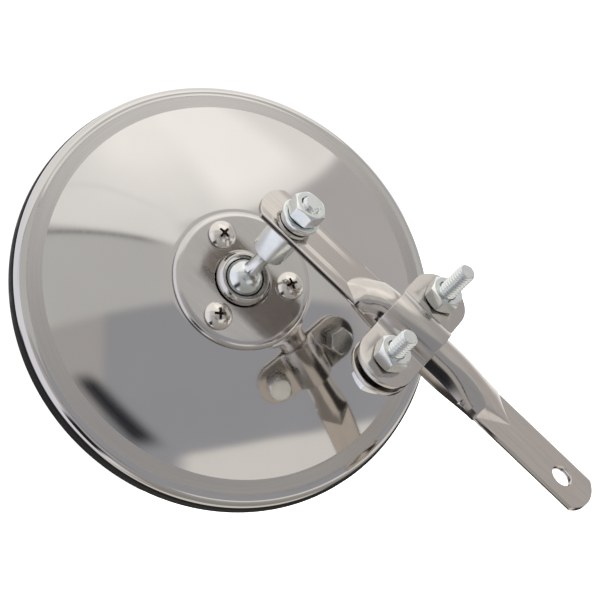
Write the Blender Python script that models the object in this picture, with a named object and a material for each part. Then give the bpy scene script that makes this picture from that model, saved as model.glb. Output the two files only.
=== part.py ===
"""Round convex spot mirror on a ball stud, with a flattened-tube arm and a two-plate tube clamp.

Metres, +Z up. The arm stands along Z, with its far bolt hole at the origin. The stud runs along +Y, away
from the glass, and the mirror head sits on the ball at the -Y end of the stud, turned towards +X.
"""

import math

import bmesh
import bpy
from mathutils import Matrix, Vector

MM = 0.001
GAP = 0.3 * MM

# Arm: one tube, pressed flat at both ends
HOLE_TO_STUD = 122.2 * MM
TUBE_RADIUS = 7.5 * MM
FLAT_WIDTH = 18.8 * MM
FLAT_THICKNESS = 2.1 * MM
TUBE_WALL = 0.9 * MM
TOP_END = 13.5 * MM  # from the stud's axis to the tip of the rounded end
FAR_END = 12.4 * MM  # from the bolt hole to the tip of the rounded end
END_ARC = 12.6 * MM
ARM_HOLE_RADIUS = 3.75 * MM
STUD_HOLE_RADIUS = 3.6 * MM
# Where the tube swells out of each flat end, as distances from the stud's axis down the arm: the point of the
# V-shaped crease, the places where its two sides reach the +X and -X edges, and the start of the round tube.
# The last two numbers are the point's X and how sharply the -X side of the V curves.
TOP_SWELL = (26.1 * MM, 32.8 * MM, 35.3 * MM, 41.5 * MM, 4.5 * MM, 0.45)
FAR_SWELL = (98.4 * MM, 87.3 * MM, 88.0 * MM, 69 * MM, -0.6 * MM, 1.0)

# Inch hardware, 1/4 in thread
THREAD_RADIUS = 3.175 * MM
NUT_FLATS = 11.1 * MM
NUT_HEIGHT = 5.5 * MM
BOLT_HEAD_HEIGHT = 6.8 * MM

# Ball stud, measured along its axis from the ball's centre
BALL_RADIUS = 7.14 * MM
NECK_RADIUS = 2.7 * MM
COLLAR_START = 17.05 * MM
COLLAR_RADIUS = 6.15 * MM
BALL_TO_ARM = 32.55 * MM  # to the middle of the flattened arm
STUD_END = 44.5 * MM
WASHER_RADIUS = 7.05 * MM
LOCK_WASHER_RADIUS = 6.1 * MM
WASHER_THICKNESS = 1.6 * MM

# Mirror head, heights measured along its axis from the ball's centre, + towards the back
HEAD_TILT = math.radians(25.1)
TILT_DIRECTION = math.radians(6.9)  # the side that the head leans to, measured from +X towards -Z
RIM_RADIUS = 76.2 * MM
SHELL = 0.8 * MM
HUB_FACE = 1.0 * MM
HUB_RADIUS = 24.6 * MM
HUB_THICKNESS = 2.0 * MM
HUB_SHOULDER = 2.7 * MM
SCREW_CIRCLE = 16.7 * MM
SCREW_TURN = math.radians(92.4)
SCREW_HEAD_RADIUS = 4.95 * MM
SCREW_RADIUS = 2.4 * MM
SOCKET_LIP_HEIGHT = 4.1 * MM
CREASE_RADIUS, CREASE_HEIGHT = 66.9 * MM, -11.8 * MM
BEAD_START = 72.0 * MM
BEAD_RADIUS = 2.75 * MM
BEAD_CENTRE = (72.95 * MM, -16.4 * MM)
GLASS_CURVE = 300 * MM
GLASS_RADIUS = 73.0 * MM
GLASS_BACK_EDGE = -19.4 * MM
GLASS_THICKNESS = 2.0 * MM

# Clamp: two saddle plates round the tube
CLAMP_TO_STUD = 52.8 * MM
CLAMP_TURN = math.radians(5.1)
CLAMP_WIDTH = 21.2 * MM
CLAMP_SHEET = 1.85 * MM
EAR_TOP = 3.04 * MM
SADDLE_FILLET = 3.0 * MM
BOLT_SPREAD = 19.2 * MM
BOLT_TIPS = {"clamp_bolt_left": 21.0 * MM, "clamp_bolt_right": 17.0 * MM}

BALL_CENTRE = Vector((0, -BALL_TO_ARM, HOLE_TO_STUD))
CLAMP_CENTRE = Vector((0, 0, HOLE_TO_STUD - CLAMP_TO_STUD))
STUD_AXIS = Vector((0, 1, 0))
HEAD_AXIS = Vector(
    (
        math.sin(HEAD_TILT) * math.cos(TILT_DIRECTION),
        math.cos(HEAD_TILT),
        -math.sin(HEAD_TILT) * math.sin(TILT_DIRECTION),
    )
)


def steel(name, colour, roughness, metallic=1.0):
    material = bpy.data.materials.new(name)
    material.use_nodes = True
    shader = material.node_tree.nodes["Principled BSDF"]
    shader.inputs["Base Color"].default_value = (*colour, 1)
    shader.inputs["Roughness"].default_value = roughness
    shader.inputs["Metallic"].default_value = metallic
    return material


def finish(name, mesh, parent, material, smooth=True):
    """Makes the object, hangs it on its parent empty and shades its round faces smooth."""
    obj = bpy.data.objects.new(name, mesh)
    bpy.context.scene.collection.objects.link(obj)
    obj.parent = parent
    mesh.materials.append(material)
    if smooth:
        mesh.shade_smooth()
        mesh.set_sharp_from_angle(angle=math.radians(35))
    return obj


def mesh_from(name, bm):
    mesh = bpy.data.meshes.new(name)
    bmesh.ops.recalc_face_normals(bm, faces=bm.faces)
    bm.to_mesh(mesh)
    bm.free()
    return mesh


def turned(name, profile, segments):
    """A solid of revolution about Z from a closed (radius, height) outline. Points at radius 0 meet on the axis."""
    bm = bmesh.new()
    rings = []
    for radius, height in profile:
        if radius < 1e-7:
            rings.append([bm.verts.new((0, 0, height))])
            continue
        steps = (2 * math.pi * i / segments for i in range(segments))
        rings.append([bm.verts.new((radius * math.cos(a), radius * math.sin(a), height)) for a in steps])
    for low, high in zip(rings, rings[1:] + rings[:1]):
        if len(low) == len(high) == 1:
            continue
        for i in range(segments):
            j = (i + 1) % segments
            corners = [low[i % len(low)], low[j % len(low)], high[j % len(high)], high[i % len(high)]]
            bm.faces.new(list(dict.fromkeys(corners)))
    return mesh_from(name, bm)


def prism(name, outline, low, high):
    """An extrusion along Z of a closed (x, y) outline."""
    bm = bmesh.new()
    bottom = [bm.verts.new((x, y, low)) for x, y in outline]
    top = [bm.verts.new((x, y, high)) for x, y in outline]
    bm.faces.new(bottom[::-1])
    bm.faces.new(top)
    for i in range(len(outline)):
        j = (i + 1) % len(outline)
        bm.faces.new([bottom[i], bottom[j], top[j], top[i]])
    return mesh_from(name, bm)


def arc(centre, radius, start, end, steps):
    """Points on a circle, from one angle in degrees to another."""
    angles = (math.radians(start + (end - start) * i / steps) for i in range(steps + 1))
    return [(centre[0] + radius * math.cos(a), centre[1] + radius * math.sin(a)) for a in angles]


def boolean(obj, cutter_mesh, operation="DIFFERENCE", matrix=None):
    """Adds an exact Boolean with a hidden cutter, placed in the object's own frame."""
    cutter = bpy.data.objects.new(f"{obj.name}_cutter", cutter_mesh)
    bpy.context.scene.collection.objects.link(cutter)
    cutter.parent = obj
    cutter.matrix_local = matrix or Matrix()
    cutter.hide_render = True
    cutter.display_type = "WIRE"
    modifier = obj.modifiers.new("cut", "BOOLEAN")
    modifier.operation = operation
    modifier.object = cutter
    modifier.solver = "EXACT"


def rod(name, radius, low, high, segments=24):
    return prism(name, arc((0, 0), radius, 0, 360 - 360 / segments, segments - 1), low, high)


def anchor(name, location, matrix=None):
    """An empty on a joint's axis, whose children are modelled with +Z along the axis."""
    empty = bpy.data.objects.new(name, None)
    bpy.context.scene.collection.objects.link(empty)
    empty.matrix_world = Matrix.Translation(location) @ (matrix or Matrix())
    return empty


def along(axis, side):
    """A rotation that takes +Z to the axis and +X to the part of the side direction square to it."""
    across = (side - axis * side.dot(axis)).normalized()
    return Matrix((across, axis.cross(across), axis)).transposed().to_4x4()


def hexagon(flats):
    """The corners of a hexagon of this size across its flats."""
    return arc((0, 0), flats / math.sqrt(3), 0, 300, 5)


def hex_piece(name, flats, low, high, chamfer, both_ends):
    """A hexagonal prism whose corners are turned off at 30 degrees, as on a nut or a bolt's head."""
    obj_mesh = prism(name, hexagon(flats), low, high)
    corner = flats / math.sqrt(3)
    drop = (corner - flats / 2) * math.tan(math.radians(30)) + chamfer
    start = (corner + chamfer, low) if not both_ends else (corner + chamfer, low + drop)
    profile = [(0, low), (flats * 0.47, low), start] if both_ends else [(0, low), start]
    profile += [(corner + chamfer, high - drop), (flats * 0.47, high), (0, high)]
    return obj_mesh, turned(f"{name}_turned", profile, 24)


# --- The arm ---------------------------------------------------------------------------------------------


def ease(t):
    t = min(max(t, 0.0), 1.0)
    return t * t * (3 - 2 * t)


def tube_section(distance, inset, points):
    """The closed (x, y) outline of the tube, or of its bore when inset is the wall's thickness."""
    swell = TOP_SWELL if distance < (TOP_SWELL[3] + FAR_SWELL[3]) / 2 else FAR_SWELL
    point, right_edge, left_edge, round_start, point_x, curve = swell

    def share(start, end):
        return min(max((distance - start) / (end - start), 0.0), 1.0)

    wide, thick = FLAT_WIDTH / 2, FLAT_THICKNESS / 2
    rounding = ease(share((right_edge + left_edge) / 2, round_start))
    half = wide + (TUBE_RADIUS - wide) * rounding
    right = point_x + (half - point_x) * share(point, right_edge) - inset
    left = point_x - (half + point_x) * share(point, left_edge) ** curve + inset
    rise = (TUBE_RADIUS - thick) * math.sin(share(point, round_start) * math.pi / 2)
    rise += thick * rounding
    edge = thick * (1 - rounding)
    half -= inset
    if rounding < 1:
        edge = max(edge - inset, 0.15 * MM)
        rise = max(rise - max(inset - thick * (1 - rounding) + edge, 0), 0)
    else:
        rise -= inset
    upper = []
    for i in range(points // 2 + 1):
        x = half * math.cos(2 * math.pi * i / points)
        corner = min(thick, half) * 0.9
        past = max(abs(x) - (half - corner), 0) / corner
        y = edge * math.sqrt(max(1 - past * past, 0))
        across = (x - (left + right) / 2) / max((right - left) / 2, 1e-6)
        if right > left and abs(across) < 1:
            y += rise * (1 - across * across) ** (1 - 0.5 * rounding)
        upper.append((x, y))
    return upper + [(x, -y) for x, y in upper[-2:0:-1]]


def end_sag(across):
    """How far the rounded end falls back from its tip, at a distance from the arm's centre line."""
    return END_ARC - math.sqrt(END_ARC**2 - across**2)


def arm_mesh(points=28):
    """The tube as a sleeve: its outer and inner surfaces, joined round both open ends."""
    stations = [-TOP_END]
    stations += [TOP_SWELL[0] + (TOP_SWELL[3] - TOP_SWELL[0]) * i / 8 for i in range(9)]
    stations += [FAR_SWELL[3] + (FAR_SWELL[0] - FAR_SWELL[3]) * i / 9 for i in range(10)]
    stations += [HOLE_TO_STUD + FAR_END]
    bm = bmesh.new()
    skins = []
    for inset in (0, TUBE_WALL):
        rings = []
        for distance in stations:
            outline = tube_section(distance, inset, points)
            back = {stations[0]: 1, stations[-1]: -1}.get(distance, 0)
            rings.append([bm.verts.new((x, y, HOLE_TO_STUD - distance - back * end_sag(x))) for x, y in outline])
        skins.append(rings)
        for low, high in zip(rings, rings[1:]):
            for i in range(points):
                j = (i + 1) % points
                bm.faces.new([low[i], low[j], high[j], high[i]])
    outer, inner = skins
    for end in (0, -1):
        for i in range(points):
            j = (i + 1) % points
            bm.faces.new([outer[end][i], outer[end][j], inner[end][j], inner[end][i]])
    return mesh_from("arm_tube", bm)


def build_arm(root, material):
    arm = finish("arm_tube", arm_mesh(), root, material)
    deep = TUBE_RADIUS + 2 * MM
    for height, radius in ((0, ARM_HOLE_RADIUS), (HOLE_TO_STUD, STUD_HOLE_RADIUS)):
        hole = Matrix.Translation((0, 0, height)) @ Matrix.Rotation(math.radians(90), 4, "X")
        hole = hole @ Matrix.Rotation(math.radians(7.5), 4, "Z")
        boolean(arm, rod("arm_hole", radius, -deep, deep, 24), "DIFFERENCE", hole)


# --- The ball stud and its hardware ----------------------------------------------------------------------


def stud_profile():
    neck_angle = math.degrees(math.acos(NECK_RADIUS / BALL_RADIUS))
    collar_top = BALL_TO_ARM - FLAT_THICKNESS / 2 - GAP
    edge = 0.5 * MM
    tip = 0.6 * MM
    return [
        *[(max(x, 0), y) for x, y in arc((0, 0), BALL_RADIUS, -90, neck_angle, 12)],
        (NECK_RADIUS, COLLAR_START),
        (COLLAR_RADIUS - edge, COLLAR_START),
        (COLLAR_RADIUS, COLLAR_START + edge),
        (COLLAR_RADIUS, collar_top - edge),
        (COLLAR_RADIUS - edge, collar_top),
        (THREAD_RADIUS, collar_top),
        (THREAD_RADIUS, STUD_END - tip),
        (THREAD_RADIUS - tip, STUD_END),
        (0, STUD_END),
    ]


def ring(name, inner, outer, low, high, edge, segments=28):
    profile = [
        (inner, low),
        (outer - edge, low),
        (outer, low + edge),
        (outer, high - edge),
        (outer - edge, high),
        (inner, high),
    ]
    return turned(name, profile, segments)


def build_stud(stud, zinc):
    finish("ball_stud", turned("ball_stud", stud_profile(), 28), stud, zinc)
    bore = THREAD_RADIUS + GAP
    face = BALL_TO_ARM + FLAT_THICKNESS / 2 + GAP
    lock = finish(
        "stud_lock_washer",
        ring("stud_lock_washer", bore, LOCK_WASHER_RADIUS, face, face + WASHER_THICKNESS, 0.2 * MM),
        stud,
        zinc,
    )
    slot = prism("washer_slot", [(0, -0.5 * MM), (8 * MM, -0.5 * MM), (8 * MM, 0.5 * MM), (0, 0.5 * MM)],
                 face - MM, face + WASHER_THICKNESS + MM)
    boolean(lock, slot, "DIFFERENCE", Matrix.Rotation(math.radians(200), 4, "Z"))
    face += WASHER_THICKNESS + GAP
    flat = ring("stud_flat_washer", bore, WASHER_RADIUS, face, face + WASHER_THICKNESS, 0.3 * MM)
    finish("stud_flat_washer", flat, stud, zinc)
    face += WASHER_THICKNESS + GAP
    build_nut("stud_nut", face, stud, zinc, Matrix.Rotation(math.radians(5.6), 4, "Z"))


def build_nut(name, face, parent, material, turn, both_ends=True, flats=NUT_FLATS, height=NUT_HEIGHT,
              bore=THREAD_RADIUS + GAP):
    """A hexagon nut standing on a face at this height along its parent's Z."""
    body, envelope = hex_piece(name, flats, face, face + height, 0.1 * MM, both_ends)
    nut = finish(name, body, parent, material, smooth=False)
    nut.matrix_local = turn
    boolean(nut, envelope, "INTERSECT")
    boolean(nut, rod("nut_bore", bore, face - MM, face + height + MM, 20))


# --- The mirror head -------------------------------------------------------------------------------------


def dome_height(radius):
    """The back of the housing: a shallow spherical dome between the hub and the crease."""
    flat_edge, flat_height = HUB_RADIUS + 0.6 * MM, HUB_FACE - HUB_THICKNESS - GAP
    rise, run = flat_height - CREASE_HEIGHT, CREASE_RADIUS**2 - flat_edge**2
    return flat_height - rise * (radius**2 - flat_edge**2) / run


def housing_profile():
    """The pressed shell from its centre hole out over the dome, the flat band and the bead, and back inside."""
    flat_height = HUB_FACE - HUB_THICKNESS - GAP
    flat_edge = HUB_RADIUS + 0.6 * MM
    hole = 13 * MM
    dome = [flat_edge + (CREASE_RADIUS - flat_edge) * i / 5 for i in range(6)]
    skirt = 74.8 * MM
    outer = [(hole, flat_height)]
    outer += [(radius, dome_height(radius)) for radius in dome]
    outer += [(BEAD_START, BEAD_CENTRE[1] + BEAD_RADIUS)]
    outer += arc(BEAD_CENTRE, BEAD_RADIUS, 80, -3, 4)
    outer += [(skirt, -16.9 * MM), (skirt, -19.2 * MM)]
    inner = [(skirt - SHELL, -19.2 * MM), (skirt - SHELL, -16.9 * MM)]
    inner += arc(BEAD_CENTRE, BEAD_RADIUS - SHELL, -3, 80, 4)
    inner += [(BEAD_START, BEAD_CENTRE[1] + BEAD_RADIUS - SHELL)]
    inner += [(radius, dome_height(radius) - SHELL) for radius in reversed(dome)]
    inner += [(hole, flat_height - SHELL)]
    return outer + inner


def gasket_profile():
    """A rubber channel that takes the shell's skirt and the edge of the glass."""
    rim, front = RIM_RADIUS, -22.9 * MM
    return [
        (75.1 * MM, -17.2 * MM),
        (75.7 * MM, -17.3 * MM),
        (rim - 0.15 * MM, -17.9 * MM),
        (rim, -18.8 * MM),
        (rim, -20.9 * MM),
        (rim - 0.3 * MM, -22.1 * MM),
        (rim - 1.1 * MM, front),
        (71.9 * MM, front - 0.2 * MM),
        (71.5 * MM, front),
        (71.5 * MM, -22.2 * MM),
        (73.4 * MM, -22.2 * MM),
        (73.4 * MM, -19.5 * MM),
        (75.1 * MM, -19.5 * MM),
    ]


def glass_profile():
    """Convex glass of even thickness, bulging towards the front."""
    steps = [GLASS_RADIUS * i / 5 for i in range(6)]
    back = [(r, GLASS_BACK_EDGE - (GLASS_RADIUS**2 - r**2) / (2 * GLASS_CURVE)) for r in steps]
    return back + [(r, z - GLASS_THICKNESS) for r, z in reversed(back)]


def hub_profile():
    low = HUB_FACE - HUB_THICKNESS
    shoulder = arc((0, 0), 1, 0, 90, 5)
    inner = HUB_RADIUS - HUB_SHOULDER
    rounded = [(inner + HUB_SHOULDER * x, low + 0.3 * MM + (HUB_THICKNESS - 0.3 * MM) * y) for x, y in shoulder]
    return [(9.95 * MM, low), (HUB_RADIUS, low), *rounded, (9.95 * MM, HUB_FACE)]


def socket_profile():
    """The retaining ring: a flange under the hub plate and a lip drawn up round the ball."""
    seat = BALL_RADIUS + GAP
    contact = math.degrees(math.atan2(2.84 * MM, 6.55 * MM))
    low, under = -2.6 * MM, HUB_FACE - HUB_THICKNESS - GAP
    seat_start = math.degrees(math.asin(low / seat))
    lip = (8.0 * MM, SOCKET_LIP_HEIGHT - 0.45 * MM)
    return [
        *arc((0, 0), seat, seat_start, contact, 7),
        *arc(lip, 0.45 * MM, 190, 20, 5),
        (9.1 * MM, 2.5 * MM),
        (9.6 * MM, 0.9 * MM),
        (9.65 * MM, under),
        (12.6 * MM, under),
        (12.6 * MM, low),
    ]


def screw_profile():
    """A pan-headed screw, from its tip up to its domed head."""
    under, rise = HUB_FACE + GAP, 2.9 * MM
    edge = 0.9 * MM
    ball = (SCREW_HEAD_RADIUS**2 + (rise - edge) ** 2) / (2 * (rise - edge))
    crown = [SCREW_HEAD_RADIUS * i / 4 for i in range(4, -1, -1)]
    return [
        (0, -9.5 * MM),
        (SCREW_RADIUS - 0.4 * MM, -9.5 * MM),
        (SCREW_RADIUS, -9.1 * MM),
        (SCREW_RADIUS, under),
        (SCREW_HEAD_RADIUS, under),
        *[(r, under + rise - ball + math.sqrt(ball**2 - r**2)) for r in crown],
    ]


def recess_arm(top, depth):
    """One arm of a Phillips recess, which narrows as it goes down."""
    bm = bmesh.new()
    wide, slot = 2.4 * MM, 0.5 * MM
    for vert in bmesh.ops.create_cube(bm, size=1)["verts"]:
        taper = 1.0 if vert.co.z > 0 else 0.35
        height = top if vert.co.z > 0 else top - depth
        vert.co = Vector((vert.co.x * 2 * wide * taper, vert.co.y * 2 * slot, height))
    return mesh_from("recess", bm)


def build_screw(index, head, steel_material, recess_turn):
    """One hub screw, its holes being cut by the plates that it goes through, and its nut inside."""
    angle = SCREW_TURN + 2 * math.pi * index / 3
    place = Matrix.Translation((SCREW_CIRCLE * math.cos(angle), SCREW_CIRCLE * math.sin(angle), 0))
    mesh = turned(f"hub_screw_{index + 1}", screw_profile(), 20)
    screw = finish(f"hub_screw_{index + 1}", mesh, head, steel_material)
    screw.matrix_local = place @ Matrix.Rotation(recess_turn, 4, "Z")
    top = HUB_FACE + GAP + 4 * MM
    for turn in (0, 90):
        boolean(screw, recess_arm(top, 3.2 * MM), "DIFFERENCE", Matrix.Rotation(math.radians(turn), 4, "Z"))
    bore = SCREW_RADIUS + GAP
    build_nut(f"hub_nut_{index + 1}", -7.4 * MM, head, steel_material, place, True, 8 * MM, 3 * MM, bore)


def backing_profile():
    """The inner plate, with a drawn cup that holds the spring."""
    top, under, bottom = -2.4 * MM, -3.9 * MM, -17.2 * MM
    wall, bore = 11.6 * MM, 10.4 * MM
    return [
        (13.2 * MM, top),
        (22 * MM, top),
        (22 * MM, under),
        (wall, under),
        (wall, bottom),
        (3 * MM, bottom),
        (3 * MM, bottom + 1.2 * MM),
        (bore, bottom + 1.2 * MM),
        (bore, -3.0 * MM),
        (13.2 * MM, -3.0 * MM),
    ]


def seat_profile():
    """The cup that the spring presses against the front of the ball."""
    inner, outer = BALL_RADIUS + GAP, 9.2 * MM
    rim = -3.1 * MM
    start = math.degrees(math.asin(rim / inner))
    low = math.degrees(math.asin(rim / outer))
    return [
        *[(max(r, 0), z) for r, z in arc((0, 0), inner, start, -90, 7)],
        *[(max(r, 0), z) for r, z in arc((0, 0), outer, -90, low, 7)],
    ]


def spring_mesh(radius, wire, low, high, turns=3, per_turn=14, sides=6):
    """A compression spring, as a round wire on a helix with closed ends."""
    bm = bmesh.new()
    rings = []
    for i in range(turns * per_turn + 1):
        turn = 2 * math.pi * i / per_turn
        height = low + wire + (high - low - 2 * wire) * i / (turns * per_turn)
        out = Vector((math.cos(turn), math.sin(turn), 0))
        centre = out * radius + Vector((0, 0, height))
        corners = (2 * math.pi * k / sides for k in range(sides))
        rings.append([bm.verts.new(centre + wire * (out * math.cos(c) + Vector((0, 0, math.sin(c)))))
                      for c in corners])
    for low_ring, high_ring in zip(rings, rings[1:]):
        for k in range(sides):
            j = (k + 1) % sides
            bm.faces.new([low_ring[k], low_ring[j], high_ring[j], high_ring[k]])
    bm.faces.new(rings[0])
    bm.faces.new(rings[-1][::-1])
    return mesh_from("seat_spring", bm)


def build_head(head, seat, polished, brushed, zinc, rubber, glass):
    housing = finish("housing", turned("housing", housing_profile(), 48), head, polished)
    finish("rim_gasket", turned("rim_gasket", gasket_profile(), 48), head, rubber)
    finish("mirror_glass", turned("mirror_glass", glass_profile(), 48), head, glass)
    hub = finish("hub_plate", turned("hub_plate", hub_profile(), 48), head, brushed)
    finish("socket_ring", turned("socket_ring", socket_profile(), 32), head, polished)
    backing = finish("backing_plate", turned("backing_plate", backing_profile(), 32), head, zinc)
    finish("seat_spring", spring_mesh(6.5 * MM, 0.7 * MM, -15.7 * MM, -9.3 * MM), head, zinc)
    finish("ball_seat", turned("ball_seat", seat_profile(), 24), seat, zinc)
    for index in range(3):
        angle = SCREW_TURN + 2 * math.pi * index / 3
        place = Matrix.Translation((SCREW_CIRCLE * math.cos(angle), SCREW_CIRCLE * math.sin(angle), 0))
        for plate in (housing, hub, backing):
            hole = rod("screw_hole", SCREW_RADIUS + GAP, -8 * MM, 6 * MM, 20)
            boolean(plate, hole, "DIFFERENCE", place)
        build_screw(index, head, brushed, math.radians(35 + 25 * index))


# --- The clamp -------------------------------------------------------------------------------------------


def saddle_side(radius_change):
    """Half of one face of a saddle plate, from the crown of the saddle out to the end of the ear."""
    middle = TUBE_RADIUS + GAP + CLAMP_SHEET / 2
    bend = SADDLE_FILLET + CLAMP_SHEET / 2
    rise = EAR_TOP - CLAMP_SHEET / 2 + bend
    run = math.sqrt((middle + bend) ** 2 - rise**2)
    meet = math.degrees(math.atan2(rise, run))
    crown = arc((0, 0), middle + radius_change, 90, meet, 7)
    foot = arc((run, rise), bend - radius_change, 180 + meet, 270, 4)
    end = BOLT_SPREAD + CLAMP_WIDTH / 2 + 2 * MM
    return crown + foot + [(end, foot[-1][1])]


def saddle_outline():
    """The closed section of a saddle plate, seen along the arm."""
    top = saddle_side(CLAMP_SHEET / 2)
    bottom = saddle_side(-CLAMP_SHEET / 2)
    right = top + bottom[::-1]
    return [(-x, y) for x, y in top[:0:-1]] + right[:-1] + [(-x, y) for x, y in bottom]


def stadium(spread, radius):
    """A slot-shaped outline along X."""
    return arc((spread, 0), radius, -90, 90, 12) + arc((-spread, 0), radius, 90, 270, 12)


def build_saddle(name, clamp, flip, material):
    """One saddle plate in the clamp's frame: X across the arm, Y along it and Z up the bolts."""
    half = CLAMP_WIDTH / 2
    mesh = prism(name, saddle_outline(), -half - MM, half + MM)
    mesh.transform(Matrix.Rotation(math.radians(90), 4, "X"))
    plate = finish(name, mesh, clamp, material)
    if flip:
        plate.matrix_local = Matrix.Rotation(math.pi, 4, "Y")
    deep = TUBE_RADIUS + 6 * MM
    boolean(plate, prism("plate_outline", stadium(BOLT_SPREAD, half), -deep, deep), "INTERSECT")
    for side in (-1, 1):
        hole = rod("bolt_hole", THREAD_RADIUS + GAP, -deep, deep, 24)
        boolean(plate, hole, "DIFFERENCE", Matrix.Translation((side * BOLT_SPREAD, 0, 0)))


def build_bolt(name, clamp, side, tip, turn, material):
    """A hexagon-headed bolt through both ears, its head under the lower plate."""
    under = -EAR_TOP - GAP
    body, envelope = hex_piece(name, NUT_FLATS, under - BOLT_HEAD_HEIGHT, under, 0.1 * MM, False)
    envelope.transform(Matrix.Translation((0, 0, 2 * under - BOLT_HEAD_HEIGHT)) @ Matrix.Scale(-1, 4, (0, 0, 1)))
    envelope.flip_normals()
    bolt = finish(name, body, clamp, material)
    bolt.matrix_local = Matrix.Translation((side * BOLT_SPREAD, 0, 0)) @ Matrix.Rotation(turn, 4, "Z")
    boolean(bolt, envelope, "INTERSECT")
    point = 0.6 * MM
    shank = [(0, under - MM), (THREAD_RADIUS, under - MM), (THREAD_RADIUS, tip - point),
             (THREAD_RADIUS - point, tip), (0, tip)]
    boolean(bolt, turned("shank", shank, 20), "UNION")


def build_clamp(clamp, brushed, zinc):
    build_saddle("clamp_plate_back", clamp, False, brushed)
    build_saddle("clamp_plate_front", clamp, True, brushed)
    for side, (name, tip) in zip((-1, 1), BOLT_TIPS.items()):
        build_bolt(name, clamp, side, tip, math.radians(6 * side), zinc)
        turn = Matrix.Rotation(math.radians(16.5 + 3.5 * side), 4, "Z")
        place = Matrix.Translation((side * BOLT_SPREAD, 0, 0)) @ turn
        build_nut(name.replace("bolt", "nut"), EAR_TOP + GAP, clamp, zinc, place)


def main():
    for obj in list(bpy.data.objects):
        bpy.data.objects.remove(obj, do_unlink=True)
    polished = steel("polished_stainless", (0.72, 0.69, 0.66), 0.12)
    brushed = steel("brushed_stainless", (0.62, 0.59, 0.56), 0.28)
    zinc = steel("zinc_plate", (0.78, 0.80, 0.82), 0.3)
    rubber = steel("black_rubber", (0.02, 0.02, 0.02), 0.7, 0.0)
    glass = steel("mirror_glass", (0.85, 0.87, 0.88), 0.03)

    arm_root = anchor("arm", (0, 0, 0))
    stud = anchor("stud_axis", BALL_CENTRE, along(STUD_AXIS, Vector((0, 0, -1))))
    lean = HEAD_AXIS.cross(STUD_AXIS).normalized()
    head = anchor("head_axis", BALL_CENTRE, along(HEAD_AXIS, lean))
    seat = anchor("seat_axis", BALL_CENTRE, along(HEAD_AXIS, lean))
    clamp_up = Matrix.Rotation(-CLAMP_TURN, 3, "Z") @ STUD_AXIS
    across = Matrix.Rotation(-CLAMP_TURN, 3, "Z") @ Vector((1, 0, 0))
    clamp = anchor("clamp_axis", CLAMP_CENTRE, along(clamp_up, across))

    build_arm(arm_root, brushed)
    build_stud(stud, zinc)
    build_head(head, seat, polished, brushed, zinc, rubber, glass)
    build_clamp(clamp, brushed, zinc)


main()
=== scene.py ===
"""A convex mirror on a ball joint and an arm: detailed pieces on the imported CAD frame, in a plain studio.

Lengths are in metres, and the arm's end hole is at the world's centre. Each piece is modelled in the frame
of its own sub-assembly (arm, ball stud, mirror head or clamp), with +Z along that frame's axis.
"""

import math

import bmesh
import bpy
from mathutils import Matrix, Vector


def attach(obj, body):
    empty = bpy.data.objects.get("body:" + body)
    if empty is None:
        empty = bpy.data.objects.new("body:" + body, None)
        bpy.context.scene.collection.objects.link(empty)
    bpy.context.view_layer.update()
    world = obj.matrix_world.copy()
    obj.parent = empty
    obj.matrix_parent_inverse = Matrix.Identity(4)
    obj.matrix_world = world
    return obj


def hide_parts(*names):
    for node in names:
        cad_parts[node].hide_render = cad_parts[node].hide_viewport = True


MM = 0.001
GAP = 0.3 * MM  # between neighbouring solids
TINY = 1e-7

# The arm, upright, with its flat end's hole at the bottom
HOLE_TO_STUD = 122.2 * MM
TUBE_RADIUS = 7.5 * MM
FLAT_WIDTH = 18.8 * MM
FLAT_THICKNESS = 2.1 * MM
TUBE_WALL = 0.9 * MM
DISH = 0.03  # how much thinner the pressed flats are along their middle
TOP_END, FAR_END = 13.5 * MM, 12.4 * MM  # from each hole to its end
END_ARC = 12.6 * MM
ARM_HOLE_RADIUS, STUD_HOLE_RADIUS = 3.75 * MM, 3.6 * MM
HOLE_EDGE = 0.3 * MM
# A hole's cutter makes a quarter turn, and a small spin that keeps its edges off the arm's
HOLE_UPRIGHT, HOLE_SPIN = 1.5708, 0.04
END_EDGE, END_THINNING = 0.25 * MM, 0.2 * MM
ARM_POINTS = 112  # round each section
TOP_RINGS, FAR_RINGS = 44, 60
# Each end's V-shaped crease: its point, where its sides reach the +X and -X edges, where the tube is round,
# the point's X and how sharply the -X side curves. Distances are from the stud's hole.
TOP_SWELL = (26.1 * MM, 32.8 * MM, 35.3 * MM, 41.5 * MM, 4.5 * MM, 0.45)
FAR_SWELL = (98.4 * MM, 87.3 * MM, 88.0 * MM, 69 * MM, -0.6 * MM, 1.0)

# Inch hardware
THREAD_RADIUS = 3.175 * MM
THREAD_PITCH = 1.27 * MM
THREAD_DEPTH = 0.62 * MM
THREAD_LEAD = 0.7 * MM  # the run-out at each end
THREAD_STEPS, THREAD_RINGS = 64, 10  # points round each ring, and rings in each pitch
TOOTH_SLOPE, ROOT_FLAT = 1.35, 0.12
START_DEPTH, TIP_DEPTH = 0.2, 1.1  # shares of the depth: the groove where it starts, and the tip's chamfer
NUT_FLATS = 11.1 * MM
NUT_HEIGHT = 5.5 * MM
NUT_CLEARANCE = 0.05 * MM
BOLT_HEAD_HEIGHT = 6.8 * MM
CHAMFER_START = 0.475  # where the chamfer of a nut or a head starts, as a share of its flats
CHAMFER_SLOPE = math.tan(math.radians(30))
# Where an end face meets its chamfer, a ring half-way in, and the edge of a head's underside, as shares
FACE_EDGE, FACE_MIDDLE, UNDER_EDGE = 0.99, 0.72, 0.985
HEX_EDGE = 0.12 * MM
HEX_CORNER = 0.25 * MM
BORE_CHAMFER = 0.5 * MM

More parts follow.
